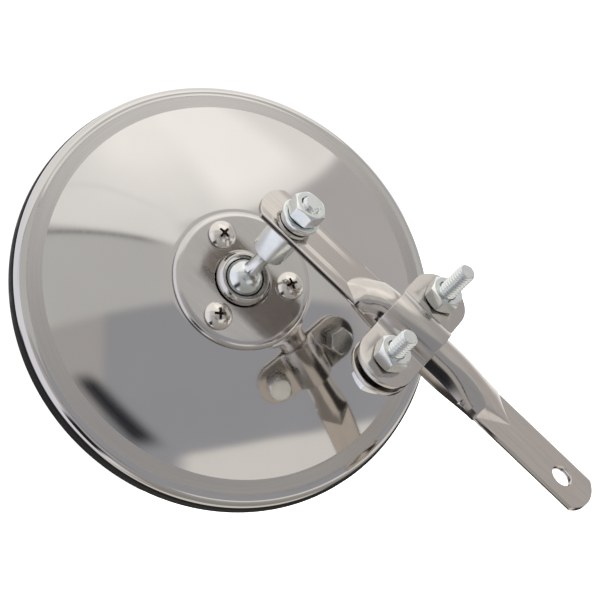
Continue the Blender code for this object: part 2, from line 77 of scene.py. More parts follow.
# Ball stud, from the ball's centre
BALL_RADIUS = 7.14 * MM
NECK_RADIUS = 2.7 * MM
COLLAR_START, COLLAR_RADIUS, COLLAR_EDGE = 17.05 * MM, 6.15 * MM, 0.6 * MM
BALL_TO_ARM = 32.55 * MM
STUD_END = 44.5 * MM
WASHER_RADIUS, LOCK_WASHER_RADIUS, WASHER_THICKNESS = 7.05 * MM, 6.1 * MM, 1.6 * MM
STUD_NUT_TURN = math.radians(5.6)
LOCK_SLIT_TURN, LOCK_SLIT_WIDTH = math.radians(200.3), 1.0 * MM

# Mirror head, heights from the ball's centre
HEAD_TILT, TILT_DIRECTION = math.radians(25.1), math.radians(6.9)
RIM_RADIUS = 76.2 * MM
SHELL = 0.8 * MM
HUB_FACE, HUB_RADIUS, HUB_THICKNESS, HUB_SHOULDER = 1.0 * MM, 24.6 * MM, 2.0 * MM, 2.7 * MM
HUB_BORE = 9.95 * MM
SCREW_CIRCLE, SCREW_TURN = 16.7 * MM, math.radians(92.4)
SCREW_HEAD_RADIUS, SCREW_HEAD_HEIGHT, SCREW_HEAD_EDGE = 4.95 * MM, 2.9 * MM, 0.8 * MM
SCREW_RADIUS, SCREW_TIP = 2.4 * MM, -9.5 * MM
CROSS_DEPTH = 1.9 * MM
INNER_NUT_FACE, INNER_NUT_FLATS, INNER_NUT_HEIGHT = -7.4 * MM, 8 * MM, 3 * MM
SOCKET_LIP_HEIGHT, SOCKET_FOOT = 4.1 * MM, -2.6 * MM
SOCKET_RADIUS, SOCKET_FLANGE = 9.65 * MM, 12.6 * MM
CREASE_RADIUS, CREASE_HEIGHT = 66.9 * MM, -11.8 * MM
BAND_SHIFT = 0.2 * MM  # how far inwards the duller band's faces start from the crease and end from the bead
BEAD_START, BEAD_RADIUS, BEAD_CENTRE = 72.0 * MM, 2.75 * MM, (72.95 * MM, -16.4 * MM)
SKIRT_RADIUS, SKIRT_TOP, SKIRT_END = 74.8 * MM, -16.9 * MM, -19.2 * MM
HOUSING_HOLE = 13 * MM
GLASS_CURVE, GLASS_RADIUS, GLASS_BACK_EDGE, GLASS_THICKNESS = 300 * MM, 73.0 * MM, -19.4 * MM, 2.0 * MM
GASKET_FRONT = -22.9 * MM
ROUND_STEPS = 256  # round the housing, the gasket and the glass

# Clamp
CLAMP_TO_STUD, CLAMP_TURN = 52.8 * MM, math.radians(5.1)
CLAMP_WIDTH, CLAMP_SHEET, EAR_TOP, SADDLE_FILLET = 21.2 * MM, 1.85 * MM, 3.04 * MM, 3.0 * MM
BOLT_SPREAD = 19.2 * MM
BOLT_TIPS = {"left": (-1, 21.0 * MM), "right": (1, 17.0 * MM)}
BOLT_TURN, CLAMP_NUT_TURN, NUT_TURN_CHANGE = math.radians(6), math.radians(16.5), math.radians(3.5)

# The camera
CAMERA_PLACE = Vector((0.7120, 0.5435, 0.1067))
CAMERA_RIGHT = Vector((-0.42614, 0.54134, -0.72482)).normalized()
CAMERA_BACK = CAMERA_RIGHT.cross(Vector((-0.45264, 0.56612, 0.68893))).normalized()
CAMERA_UP = CAMERA_BACK.cross(CAMERA_RIGHT)
CAMERA_LENS = 161.69

FLOOR_HEIGHT = -0.45
FLOOR_GLOW, FLOOR_GLOW_START, FLOOR_GLOW_END = 1.2, 0.8, 2.4
BACKGROUND_GLOW = 1.1
LIGHT_TARGET, LIGHT_DISTANCE = Vector((0, -0.03, 0.1)), 2.2


def frame_at(axis, side, place):
    """A frame at a place, with +Z along the axis and +X towards the side direction."""
    across = (side - axis * side.dot(axis)).normalized()
    turn = Matrix((across, axis.cross(across), axis)).transposed().to_4x4()
    return Matrix.Translation(place) @ turn


BALL_CENTRE = Vector((0, -BALL_TO_ARM, HOLE_TO_STUD))
STUD_AXIS = Vector((0, 1, 0))
HEAD_AXIS = Vector(
    (
        math.sin(HEAD_TILT) * math.cos(TILT_DIRECTION),
        math.cos(HEAD_TILT),
        -math.sin(HEAD_TILT) * math.sin(TILT_DIRECTION),
    )
)
STUD_FRAME = frame_at(STUD_AXIS, Vector((0, 0, -1)), BALL_CENTRE)
HEAD_FRAME = frame_at(HEAD_AXIS, HEAD_AXIS.cross(STUD_AXIS).normalized(), BALL_CENTRE)
CLAMP_ROTATION = Matrix.Rotation(-CLAMP_TURN, 3, "Z")
CLAMP_PLACE = Vector((0, 0, HOLE_TO_STUD - CLAMP_TO_STUD))
CLAMP_FRAME = frame_at(CLAMP_ROTATION @ STUD_AXIS, CLAMP_ROTATION @ Vector((1, 0, 0)), CLAMP_PLACE)

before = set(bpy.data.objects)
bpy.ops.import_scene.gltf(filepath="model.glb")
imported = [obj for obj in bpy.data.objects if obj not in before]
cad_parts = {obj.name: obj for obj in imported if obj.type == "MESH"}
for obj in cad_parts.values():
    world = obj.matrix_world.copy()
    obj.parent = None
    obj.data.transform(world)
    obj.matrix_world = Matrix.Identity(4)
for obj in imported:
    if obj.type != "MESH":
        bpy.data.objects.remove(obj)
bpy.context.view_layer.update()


# --- Materials -------------------------------------------------------------------------------------------

MIX_COLOURS, MIX_RESULT = (6, 7), 2  # a Mix node's colour inputs and its colour output


class NodeTree:
    """A node tree and a few short ways to wire it."""

    def __init__(self, owner):
        owner.use_nodes = True
        self.tree = owner.node_tree

    def add(self, kind, inputs=None, **settings):
        """A new node, with each input linked to another node's output or set to a value."""
        node = self.tree.nodes.new(kind)
        for key, value in settings.items():
            setattr(node, key, value)
        for key, value in (inputs or {}).items():
            if isinstance(value, bpy.types.NodeSocket):
                self.tree.links.new(value, node.inputs[key])
            else:
                node.inputs[key].default_value = value
        return node

    def math(self, operation, *values):
        return self.add("ShaderNodeMath", dict(enumerate(values)), operation=operation).outputs[0]

    def times(self, value, factor):
        return self.math("MULTIPLY", value, factor)

    def vectors(self, operation, *values, output=0):
        node = self.add("ShaderNodeVectorMath", dict(enumerate(values)), operation=operation)
        return node.outputs[output]

    def scale(self, vector, factor):
        inputs = {0: vector, "Scale": factor}
        return self.add("ShaderNodeVectorMath", inputs, operation="SCALE").outputs[0]

    def mix(self, factor, one, other):
        """From one colour to another; each is a node's output or three numbers."""
        colours = (c if isinstance(c, bpy.types.NodeSocket) else (*c, 1) for c in (one, other))
        inputs = {"Factor": factor, **dict(zip(MIX_COLOURS, colours))}
        return self.add("ShaderNodeMix", inputs, data_type="RGBA").outputs[MIX_RESULT]


class Nodes(NodeTree):
    """A new material on a Principled shader."""

    def __init__(self, name, metallic, roughness, colour):
        self.material = bpy.data.materials.new(name)
        super().__init__(self.material)
        self.shader = self.tree.nodes["Principled BSDF"]
        self.shader.inputs["Metallic"].default_value = metallic
        self.shader.inputs["Roughness"].default_value = roughness
        self.shader.inputs["Base Color"].default_value = (*colour, 1)
        self.place = self.add("ShaderNodeTexCoord").outputs["Object"]

    def link(self, source, socket):
        self.tree.links.new(source, self.shader.inputs[socket])

    def stretched(self, scale):
        """The object's coordinates, stretched by a scale for each axis."""
        return self.add("ShaderNodeMapping", {"Vector": self.place, "Scale": scale}).outputs[0]

    def round_axis(self, axis, centre):
        """The sideways direction round an axis at each point, as long as the point is far from the axis."""
        return self.vectors("CROSS_PRODUCT", axis, self.vectors("SUBTRACT", self.place, centre))

    def lathe(self, axis, centre, around, along):
        """Coordinates that run slowly round an axis and quickly outwards, for the marks of turning."""
        sideways = self.round_axis(axis, centre)
        radius = self.vectors("LENGTH", sideways, output="Value")
        slow = self.scale(self.vectors("NORMALIZE", sideways), around)
        return self.vectors("ADD", slow, self.scale(axis, self.times(radius, along)))

    def brushed_round(self, axis, centre, strength):
        """Stretches the gloss across marks that run round an axis."""
        settings = {"convert_from": "OBJECT", "convert_to": "WORLD", "vector_type": "VECTOR"}
        way = self.add("ShaderNodeVectorTransform", {0: self.round_axis(axis, centre)}, **settings)
        self.link(way.outputs[0], "Tangent")
        self.shader.inputs["Anisotropic"].default_value = strength

    def noise(self, vector, scale, detail, rough=0.55):
        inputs = {"Vector": vector, "Scale": scale, "Detail": detail, "Roughness": rough}
        return self.add("ShaderNodeTexNoise", inputs).outputs["Fac"]

    def spread(self, value, low, high, start=0.3, end=0.7):
        """The value's range from start to end, carried over to the range from low to high."""
        inputs = {"Value": value, "From Min": start, "From Max": end, "To Min": low, "To Max": high}
        return self.add("ShaderNodeMapRange", inputs).outputs[0]

    def tint(self, value, one, other):
        """Lets the base colour wander between two colours."""
        self.link(self.mix(self.spread(value, 0, 1), one, other), "Base Color")

    def roughen(self, value, low, high):
        self.link(self.spread(value, low, high), "Roughness")

    def bump(self, height, strength, distance):
        node = self.add("ShaderNodeBump", {"Height": height, "Strength": strength, "Distance": distance})
        self.link(node.outputs[0], "Normal")


def polished_steel():
    """Polished stainless with faint turning marks and slight unevenness."""
    nodes = Nodes("polished_stainless", metallic=1.0, roughness=0.08, colour=(0.66, 0.635, 0.61))
    cloud = nodes.noise(nodes.place, scale=22, detail=3)
    nodes.tint(cloud, (0.68, 0.66, 0.64), (0.645, 0.625, 0.605))
    marks = nodes.noise(nodes.lathe(HEAD_AXIS, BALL_CENTRE, 1.5, 1400), scale=1.0, detail=2)
    nodes.roughen(marks, 0.06, 0.075)
    nodes.bump(nodes.noise(nodes.place, scale=30, detail=1), strength=0.1, distance=0.6 * MM)
    return nodes.material


def turned_steel():
    """Duller stainless with turning marks that stretch the gloss."""
    nodes = Nodes("turned_band", metallic=1.0, roughness=0.5, colour=(0.55, 0.52, 0.505))
    marks = nodes.noise(nodes.lathe(HEAD_AXIS, BALL_CENTRE, 2.0, 3400), scale=1.0, detail=3)
    nodes.roughen(marks, 0.45, 0.55)
    nodes.tint(marks, (0.575, 0.555, 0.535), (0.535, 0.515, 0.50))
    nodes.bump(marks, strength=0.04, distance=0.08 * MM)
    nodes.brushed_round(HEAD_AXIS, BALL_CENTRE, 0.5)
    return nodes.material


def brushed_steel(name, roughness, colour, lines, tone=0.93):
    """Satin stainless with fine lines, whose scale along each axis is given."""
    nodes = Nodes(name, metallic=1.0, roughness=roughness, colour=colour)
    grain = nodes.noise(nodes.stretched(lines), scale=1.0, detail=4, rough=0.6)
    nodes.roughen(grain, roughness - 0.04, roughness + 0.05)
    nodes.tint(grain, colour, tuple(part * tone for part in colour))
    nodes.bump(grain, strength=0.07, distance=0.1 * MM)
    return nodes.material


def zinc_plate():
    """Bright zinc: a pale metal with a faint green and blue bloom and tiny pits."""
    nodes = Nodes("bright_zinc", metallic=1.0, roughness=0.2, colour=(0.80, 0.825, 0.82))
    cloud = nodes.noise(nodes.place, scale=240, detail=2)
    nodes.tint(cloud, (0.83, 0.845, 0.825), (0.75, 0.79, 0.795))
    nodes.roughen(nodes.noise(nodes.place, scale=700, detail=2), 0.15, 0.24)
    nodes.bump(nodes.noise(nodes.place, scale=1600, detail=2), strength=0.08, distance=0.06 * MM)
    return nodes.material


def recess_shade():
    """Dull, dark brown steel inside a screw's cross: painted shade for the recess."""
    nodes = Nodes("recess_painted_shade", metallic=1.0, roughness=0.5, colour=(0.20, 0.15, 0.12))
    cloud = nodes.noise(nodes.place, scale=1500, detail=3)
    nodes.tint(cloud, (0.26, 0.20, 0.165), (0.13, 0.095, 0.075))
    nodes.roughen(cloud, 0.4, 0.6)
    return nodes.material


def black_rubber():
    nodes = Nodes("black_rubber", metallic=0.0, roughness=0.6, colour=(0.012, 0.011, 0.01))
    nodes.shader.inputs["Specular IOR Level"].default_value = 0.22
    cloud = nodes.noise(nodes.place, scale=260, detail=4)
    nodes.tint(cloud, (0.009, 0.008, 0.008), (0.02, 0.018, 0.017))
    nodes.roughen(cloud, 0.45, 0.7)
    nodes.bump(nodes.noise(nodes.place, scale=1800, detail=2), strength=0.2, distance=0.1 * MM)
    return nodes.material


def silvered_glass():
    """Silvering under the clear coat of the glass."""
    nodes = Nodes("silvered_glass", metallic=1.0, roughness=0.02, colour=(0.86, 0.88, 0.89))
    cloud = nodes.noise(nodes.place, scale=18, detail=2)
    nodes.tint(cloud, (0.87, 0.885, 0.89), (0.84, 0.865, 0.88))
    nodes.roughen(nodes.noise(nodes.place, scale=60, detail=2), 0.012, 0.03)
    nodes.shader.inputs["Coat Weight"].default_value = 1.0
    nodes.shader.inputs["Coat Roughness"].default_value = 0.01
    return nodes.material


POLISHED = polished_steel()
BAND = turned_steel()
HUB = brushed_steel("satin_hub", 0.14, (0.66, 0.635, 0.615), (60, 900, 60), 0.97)
SATIN = brushed_steel("satin_arm", 0.13, (0.66, 0.62, 0.58), (700, 700, 45), 0.9)
CLAMP_STEEL = brushed_steel("satin_clamp", 0.17, (0.58, 0.55, 0.52), (60, 1400, 60))
SCREW_STEEL = brushed_steel("screw_stainless", 0.13, (0.78, 0.745, 0.70), (500, 500, 500))
ZINC = zinc_plate()
# painted shade for the inside of the screws' crosses
RECESS_PAINTED_SHADE = recess_shade()
RUBBER = black_rubber()
GLASS = silvered_glass()


# --- Meshes ----------------------------------------------------------------------------------------------


NEARLY_STRAIGHT, NEARLY_TWO = math.radians(160), 2.2
BEVEL_STEPS, BEVEL_FROM = 3, math.radians(40)


def arc(centre, radius, start, end, steps):
    """Points along an arc, whose start and end are in degrees."""
    angles = (math.radians(start + (end - start) * i / steps) for i in range(steps + 1))
    return [(centre[0] + radius * math.cos(a), centre[1] + radius * math.sin(a)) for a in angles]


def bend(start, corner, end, t):
    """A point along the curve from start to end that a corner pulls towards itself."""
    return start * (1 - t) ** 2 + corner * 2 * t * (1 - t) + end * t * t


def circle(radius, height, segments):
    """A level ring of points, or the one point where it meets the axis."""
    if radius <= TINY:
        return [(0, 0, height)]
    turns = (2 * math.pi * i / segments for i in range(segments))
    return [(radius * math.cos(a), radius * math.sin(a), height) for a in turns]


def to_mesh(name, bm):
    mesh = bpy.data.meshes.new(name)
    bmesh.ops.recalc_face_normals(bm, faces=bm.faces)
    bm.to_mesh(mesh)
    bm.free()
    return mesh


def loft(name, rings, closed=False):
    """A skin over rings of points. One point is a pole, and closed joins the last ring to the first."""
    bm = bmesh.new()
    made = [[bm.verts.new(p) for p in points] for points in rings]
    pairs = list(zip(made, made[1:])) + ([(made[-1], made[0])] if closed else [])
    for low, high in pairs:
        count = max(len(low), len(high))
        for i in range(count):
            j = (i + 1) % count
            corners = [low[i % len(low)], low[j % len(low)], high[j % len(high)], high[i % len(high)]]
            corners = list(dict.fromkeys(corners))
            if len(corners) > 2:
                bm.faces.new(corners)
    if not closed:
        for points in (made[0], made[-1]):
            if len(points) > 2:
                bm.faces.new(points)
    return to_mesh(name, bm)


def turned(name, profile, segments, closed=True):
    """A profile of (radius, height) points turned round the axis; one that isn't closed meets the axis."""
    return loft(name, [circle(radius, height, segments) for radius, height in profile], closed)


def prism(name, outline, low, high):
    return loft(name, [[(x, y, low) for x, y in outline], [(x, y, high) for x, y in outline]])


def rounded(points, radius, steps=4):
    """A closed profile with small arcs for its sharp corners, each within nearly half of its sides."""
    made = []
    count = len(points)
    for i, point in enumerate(points):
        here = Vector(point)
        to_last = Vector(points[i - 1]) - here
        to_next = Vector(points[(i + 1) % count]) - here
        reach = min(radius, to_last.length / NEARLY_TWO, to_next.length / NEARLY_TWO)
        turn = to_last.angle(to_next, math.pi)
        if turn > NEARLY_STRAIGHT or here.x < TINY or reach < 10 * TINY:
            made.append(tuple(here))
            continue
        start, end = here + to_last.normalized() * reach, here + to_next.normalized() * reach
        made += [tuple(bend(start, here, end, k / steps)) for k in range(steps + 1)]
    return made


def piece(name, mesh, matrix, body, stands_for, slot, *materials, sharp=30):
    """A visible piece: its mesh in its frame, on its CAD body, in place of its CAD node.

    Edges that turn by more than sharp degrees stay crisp.
    """
    mesh.transform(matrix)
    obj = bpy.data.objects.new(name, mesh)
    bpy.context.scene.collection.objects.link(obj)
    for material in materials:
        mesh.materials.append(material)
    mesh.shade_smooth()
    mesh.set_sharp_from_angle(angle=math.radians(sharp))
    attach(obj, body)
    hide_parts(stands_for)


def cut(mesh, cutters, operation="DIFFERENCE", bevel=0.0):
    """The mesh after an exact Boolean with each cutter mesh, and with its sharper edges bevelled."""
    holder = bpy.data.objects.new("holder", mesh)
    bpy.context.scene.collection.objects.link(holder)
    helpers = [holder]
    for cutter in cutters:
        helper = bpy.data.objects.new("cutter", cutter)
        bpy.context.scene.collection.objects.link(helper)
        helpers.append(helper)
        modifier = holder.modifiers.new("cut", "BOOLEAN")
        modifier.operation = operation
        modifier.object = helper
        modifier.solver = "EXACT"
    if bevel:
        modifier = holder.modifiers.new("edge", "BEVEL")
        modifier.width = bevel
        modifier.segments = BEVEL_STEPS
        modifier.limit_method = "ANGLE"
        modifier.angle_limit = BEVEL_FROM
    bpy.context.view_layer.update()
    evaluated = holder.evaluated_get(bpy.context.evaluated_depsgraph_get())
    made = bpy.data.meshes.new_from_object(evaluated)
    made.name = mesh.name
    for helper in helpers:
        bpy.data.objects.remove(helper)
    return made


def moved(mesh, matrix):
    mesh.transform(matrix)
    return mesh


def hex_outline(flats, per_side=10):
    """Points round a hexagon with slightly rounded corners."""
    outline = []
    reach = flats / math.sqrt(3)
    for side in range(6):
        a, b = math.radians(60 * side), math.radians(60 * side + 60)
        p = Vector((reach * math.cos(a), reach * math.sin(a)))
        q = Vector((reach * math.cos(b), reach * math.sin(b)))
        edge = (q - p).normalized() * HEX_CORNER
        start, end = p + edge, q - edge
        outline += [start.lerp(end, i / per_side) for i in range(per_side + 1)]
        after = q + (Matrix.Rotation(math.radians(60), 2) @ edge)
        outline += [bend(end, q, after, t) for t in (0.33, 0.67)]
    return outline


def hex_rings(flats, low, high, both_ends, bore=0.0):
    """Rings for a hexagon nut or head: a turned chamfer meets the flats in the usual arcs."""
    outline = hex_outline(flats)
    chamfer = flats * CHAMFER_START
    face, face_middle = chamfer * FACE_EDGE, flats / 2 * FACE_MIDDLE

    def ring(radius, height):
        return [(p.x / p.length * radius, p.y / p.length * radius, height) for p in outline]

    def wall(height, side, inset=0.0):
        """The chamfer's edge below a face that looks up (side 1) or down (side -1)."""
        points = []
        for p in outline:
            scale = (p.length - inset) / p.length
            drop = max(p.length * scale - chamfer, 0) * CHAMFER_SLOPE + (0.0 if inset else HEX_EDGE)
            points.append((p.x * scale, p.y * scale, height - side * drop))
        return points

    if bore:
        rings = [ring(bore, low + BORE_CHAMFER), ring(bore + BORE_CHAMFER, low)]
    else:
        rings = [[(0, 0, low)]]
    if both_ends:
        rings += [ring(face, low), wall(low, -1, HEX_EDGE), wall(low, -1)]
    else:
        rings.append([(p.x * UNDER_EDGE, p.y * UNDER_EDGE, low) for p in outline])
        rings.append([(p.x, p.y, low + HEX_EDGE) for p in outline])
    rings += [wall(high, 1), wall(high, 1, HEX_EDGE), ring(face, high), ring(face_middle, high)]
    if bore:
        return rings + [ring(bore + BORE_CHAMFER, high), ring(bore, high - BORE_CHAMFER)]
    return rings + [[(0, 0, high)]]


def thread_rings(low, high, full_start=False):
    """Rings up a threaded shank, whose radius follows a helical V with flats at its crest and root.

    The tip is chamfered, and the groove starts shallow unless it has a full start.
    """
    rings = []
    steps = int((high - low) / THREAD_PITCH * THREAD_RINGS)
    for k in range(steps + 1):
        z = low + (high - low) * k / steps
        from_tip = min((high - z) / THREAD_LEAD, 1.0)
        from_start = 1.0 if full_start else min((z - low) / THREAD_LEAD, 1.0)
        groove = THREAD_DEPTH * min(from_start + START_DEPTH, 1.0)
        crest = THREAD_RADIUS - THREAD_DEPTH * TIP_DEPTH * (1 - from_tip)
        ring = []
        for i in range(THREAD_STEPS):
            turn = i / THREAD_STEPS
            phase = (z / THREAD_PITCH - turn) % 1.0
            tooth = min(max(TOOTH_SLOPE * (1 - abs(2 * phase - 1)) - ROOT_FLAT, 0.0), 1.0)
            r = min(THREAD_RADIUS - groove * (1 - tooth), crest)
            ring.append((r * math.cos(2 * math.pi * turn), r * math.sin(2 * math.pi * turn), z))
        rings.append(ring)
    return rings


def scaled(ring, factor, height):
    """A ring drawn in towards the axis, at a new height."""
    return [(x * factor, y * factor, height) for x, y, _ in ring]


# --- The arm ---------------------------------------------------------------------------------------------


def ease(t):
    """A share between 0 and 1, made to start and stop smoothly."""
    return t * t * (3 - 2 * t)


def share(value, start, end):
    """How far a value is from the start to the end, held between 0 and 1."""
    return min(max((value - start) / (end - start), 0.0), 1.0)


def columns(half, left, right, count):
    """Places across the tube, gathered so that some follow the two creases of its swelling."""
    third = count // 3
    spans = ((half, right, third), (right, left, count - 2 * third), (left, -half, third))
    made = []
    for start, end, steps in spans:
        made += [start + (end - start) * i / steps for i in range(steps)]
    return made + [-half]


def tube_section(distance, inset):
    """The closed (x, y) outline of the tube this far below the stud, drawn in by an inset."""
    swell = TOP_SWELL if distance < (TOP_SWELL[3] + FAR_SWELL[3]) / 2 else FAR_SWELL
    point, right_edge, left_edge, round_start, point_x, curve = swell
    wide, thick = FLAT_WIDTH / 2, FLAT_THICKNESS / 2
    rounding = ease(share(distance, (right_edge + left_edge) / 2, round_start))
    half = wide + (TUBE_RADIUS - wide) * rounding
    right = point_x + (half - point_x) * share(distance, point, right_edge)
    left = point_x - (half + point_x) * share(distance, point, left_edge) ** curve
    rise = (TUBE_RADIUS - thick) * math.sin(share(distance, point, round_start) * math.pi / 2)
    rise += thick * rounding
    edge = thick * (1 - rounding)
    corner = min(thick, half) * 0.9
    shrink = (half - inset) / half
    apart = 0.05 * MM
    upper = []
    for x in columns(half, min(left, point_x - apart), max(right, point_x + apart), ARM_POINTS // 2):
        past = max(abs(x) - (half - corner), 0) / corner
        side = math.sqrt(max(1 - past * past, 0))
        y = edge * side * (1 - DISH * (1 - (x / half) ** 2) ** 2 * (1 - rounding))
        across = (x - (left + right) / 2) / max((right - left) / 2, 10 * TINY)
        if right > left and abs(across) < 1:
            y += rise * (1 - across * across) ** (1 - 0.5 * rounding)
        upper.append((x * shrink, max(y - inset, 0.15 * MM * side)))
    return upper + [(x, -y) for x, y in upper[-2:0:-1]]


def end_sag(across):
    """How far the arm's round end falls back, away from its middle."""
    return END_ARC - math.sqrt(END_ARC**2 - across**2)


def hole_cutter(height, radius):
    """A cutter for a hole through a flat at this height, which also breaks the hole's edges."""
    half, deep, wide = FLAT_THICKNESS / 2, 4 * MM, radius + HOLE_EDGE
    outer = wide + deep - half
    profile = [(0, -deep), (outer, -deep), (wide, -half), (radius, -half + HOLE_EDGE)]
    profile += [(r, -y) for r, y in reversed(profile)]
    lean = Matrix.Rotation(HOLE_UPRIGHT, 4, "X") @ Matrix.Rotation(HOLE_SPIN, 4, "Z")
    return moved(turned("hole", profile, 64, closed=False), Matrix.Translation((0, 0, height)) @ lean)


def arm_mesh():
    """The tube and its two pressed ends: an outer skin and an inner one, with both holes cut through."""
    stations = [-TOP_END, -TOP_END + END_EDGE]
    for swell, start, end, count in ((TOP_SWELL, 0, 3, TOP_RINGS), (FAR_SWELL, 3, 0, FAR_RINGS)):
        run = swell[end] - swell[start]
        stations += [swell[start] + run * i / count for i in range(count + 1)]
    stations += [HOLE_TO_STUD + FAR_END - END_EDGE, HOLE_TO_STUD + FAR_END]
    last = len(stations) - 1
    skins = []
    for inset in (0, TUBE_WALL):
        rings = []
        for k, distance in enumerate(stations):
            back = 1 if k < 2 else -1 if k > last - 2 else 0
            thinning = END_THINNING if k in (0, last) and not inset else 0
            flatten = 1 - thinning / FLAT_THICKNESS
            height = HOLE_TO_STUD - distance
            section = tube_section(distance, inset)
            rings.append([(x, y * flatten, height - back * end_sag(x)) for x, y in section])
        skins.append(rings)
    mesh = loft("arm_tube", skins[0] + skins[1][::-1], closed=True)
    return cut(mesh, [hole_cutter(0, ARM_HOLE_RADIUS), hole_cutter(HOLE_TO_STUD, STUD_HOLE_RADIUS)])


piece("arm", arm_mesh(), Matrix(), "arm", "arm_tube", "satin_steel", SATIN, sharp=24)


# --- The ball stud ---------------------------------------------------------------------------------------


def stud_mesh():
    """The ball, its neck, the collar under the arm and the thread above it."""
    neck_angle = math.degrees(math.acos(NECK_RADIUS / BALL_RADIUS))
    collar_top = BALL_TO_ARM - FLAT_THICKNESS / 2 - GAP
    edge, fillet = COLLAR_EDGE, 0.15 * MM
    profile = [(max(x, 0), y) for x, y in arc((0, 0), BALL_RADIUS, -90, neck_angle - 3, 40)]
    neck = profile[-1][1]
    profile += [(NECK_RADIUS + fillet, neck + 0.55 * MM), (NECK_RADIUS, neck + 1.1 * MM)]
    profile += [(NECK_RADIUS, COLLAR_START - 0.5 * MM), (NECK_RADIUS + fillet, COLLAR_START - 0.12 * MM)]
    profile += [(NECK_RADIUS + 0.5 * MM, COLLAR_START)]
    profile += arc((COLLAR_RADIUS - edge, COLLAR_START + edge), edge, -90, 0, 5)
    profile += arc((COLLAR_RADIUS - edge, collar_top - edge), edge, 0, 90, 5)
    profile += [(THREAD_RADIUS, collar_top)]
    rings = [circle(radius, height, THREAD_STEPS) for radius, height in profile]
    rings += thread_rings(collar_top + 0.2 * MM, STUD_END)
    rings += [scaled(rings[-1], 0.9, STUD_END), [(0, 0, STUD_END)]]
    return loft("ball_stud", rings)


piece("stud", stud_mesh(), STUD_FRAME, "stud", "ball_stud", "zinc", ZINC)


def washer(name, radius, face, edge, stands_for, split=False):
    """A washer on the stud with its lower face at this height; a lock washer is split."""
    top = face + WASHER_THICKNESS
    bore = THREAD_RADIUS + GAP
    profile = rounded([(bore, face), (radius, face), (radius, top), (bore, top)], edge)
    mesh = turned(name, profile, 96)
    if split:
        half, reach = LOCK_SLIT_WIDTH / 2, 9 * MM
        slit = prism("slit", [(0, -half), (reach, -half), (reach, half), (0, half)], face - MM, top + MM)
        mesh = cut(mesh, [moved(slit, Matrix.Rotation(LOCK_SLIT_TURN, 4, "Z"))])
    piece(name, mesh, STUD_FRAME, "stud", stands_for, "zinc", ZINC)


stud_face = BALL_TO_ARM + FLAT_THICKNESS / 2 + GAP
washer("lock_washer", LOCK_WASHER_RADIUS, stud_face, 0.25 * MM, "stud_lock_washer", split=True)
stud_face += WASHER_THICKNESS + GAP
washer("flat_washer", WASHER_RADIUS, stud_face, 0.45 * MM, "stud_flat_washer")
stud_face += WASHER_THICKNESS + GAP


def nut(name, face, matrix, body, stands_for, bore, flats=NUT_FLATS, height=NUT_HEIGHT):
    """A zinc-plated hexagon nut with its lower face at this height in its frame."""
    rings = hex_rings(flats, face, face + height, True, bore)
    piece(name, loft(name, rings, closed=True), matrix, body, stands_for, "zinc", ZINC, sharp=22)


nut("nut_on_stud", stud_face, STUD_FRAME @ Matrix.Rotation(STUD_NUT_TURN, 4, "Z"), "stud", "stud_nut",
    THREAD_RADIUS + NUT_CLEARANCE)


# --- The mirror head -------------------------------------------------------------------------------------

FLAT_HEIGHT = HUB_FACE - HUB_THICKNESS - GAP
FLAT_EDGE = HUB_RADIUS + 0.6 * MM


def dome_height(radius):
    """The dome's outer height, which falls with the square of the radius from the flat to the crease."""
    rise, run = FLAT_HEIGHT - CREASE_HEIGHT, CREASE_RADIUS**2 - FLAT_EDGE**2
    return FLAT_HEIGHT - rise * (radius**2 - FLAT_EDGE**2) / run


def housing_mesh():
    """The pressed shell: flat, dome, crease, band, bead and skirt, with the band's faces in slot 1."""
    dome = [FLAT_EDGE + (CREASE_RADIUS - FLAT_EDGE) * i / 48 for i in range(49)]
    outer = [(HOUSING_HOLE, FLAT_HEIGHT), (FLAT_EDGE - 3 * MM, FLAT_HEIGHT)]
    outer += [(radius, dome_height(radius)) for radius in dome]
    crease, bead = Vector(outer[-1]), Vector((BEAD_START, BEAD_CENTRE[1] + BEAD_RADIUS))
    outer += [tuple(crease.lerp(bead, t / 6)) for t in range(1, 7)]
    outer += arc(BEAD_CENTRE, BEAD_RADIUS, 86, -3, 16)
    outer += [(SKIRT_RADIUS, SKIRT_TOP), (SKIRT_RADIUS, SKIRT_END)]
    inner = [(SKIRT_RADIUS - SHELL, SKIRT_END), (SKIRT_RADIUS - SHELL, SKIRT_TOP)]
    inner += arc(BEAD_CENTRE, BEAD_RADIUS - SHELL, -3, 86, 12)
    inner += [(radius, dome_height(radius) - SHELL) for radius in reversed(dome)]
    inner += [(HOUSING_HOLE, FLAT_HEIGHT - SHELL)]
    mesh = turned("housing", rounded(outer + inner, 0.35 * MM, 3), ROUND_STEPS)
    for face in mesh.polygons:
        radius = face.center.xy.length
        face.material_index = int(CREASE_RADIUS - BAND_SHIFT < radius < BEAD_START - BAND_SHIFT)
    return mesh


piece("housing_shell", housing_mesh(), HEAD_FRAME, "head", "housing", "polished_steel", POLISHED, BAND,
      sharp=40)


def gasket_mesh():
    """The rubber ring that holds the glass: a shoulder over the skirt, a plain wall and a lip in front."""
    rim, lip, seat, back = RIM_RADIUS, 71.5 * MM, 73.4 * MM, 75.1 * MM
    front, glass_front, glass_back = GASKET_FRONT, -22.2 * MM, -19.5 * MM
    profile = [(back, -17.2 * MM), (rim - 0.5 * MM, -17.3 * MM), (rim - 0.15 * MM, -17.9 * MM)]
    profile += [(rim, -18.8 * MM), (rim, -20.9 * MM), (rim - 0.3 * MM, -22.1 * MM), (rim - 1.1 * MM, front)]
    profile += [(lip + 0.4 * MM, front - 0.2 * MM), (lip, front), (lip, glass_front), (seat, glass_front)]
    profile += [(seat, glass_back), (back, glass_back)]
    return turned("gasket", rounded(profile, 0.5 * MM), ROUND_STEPS)


piece("gasket", gasket_mesh(), HEAD_FRAME, "head", "rim_gasket", "rubber", RUBBER)


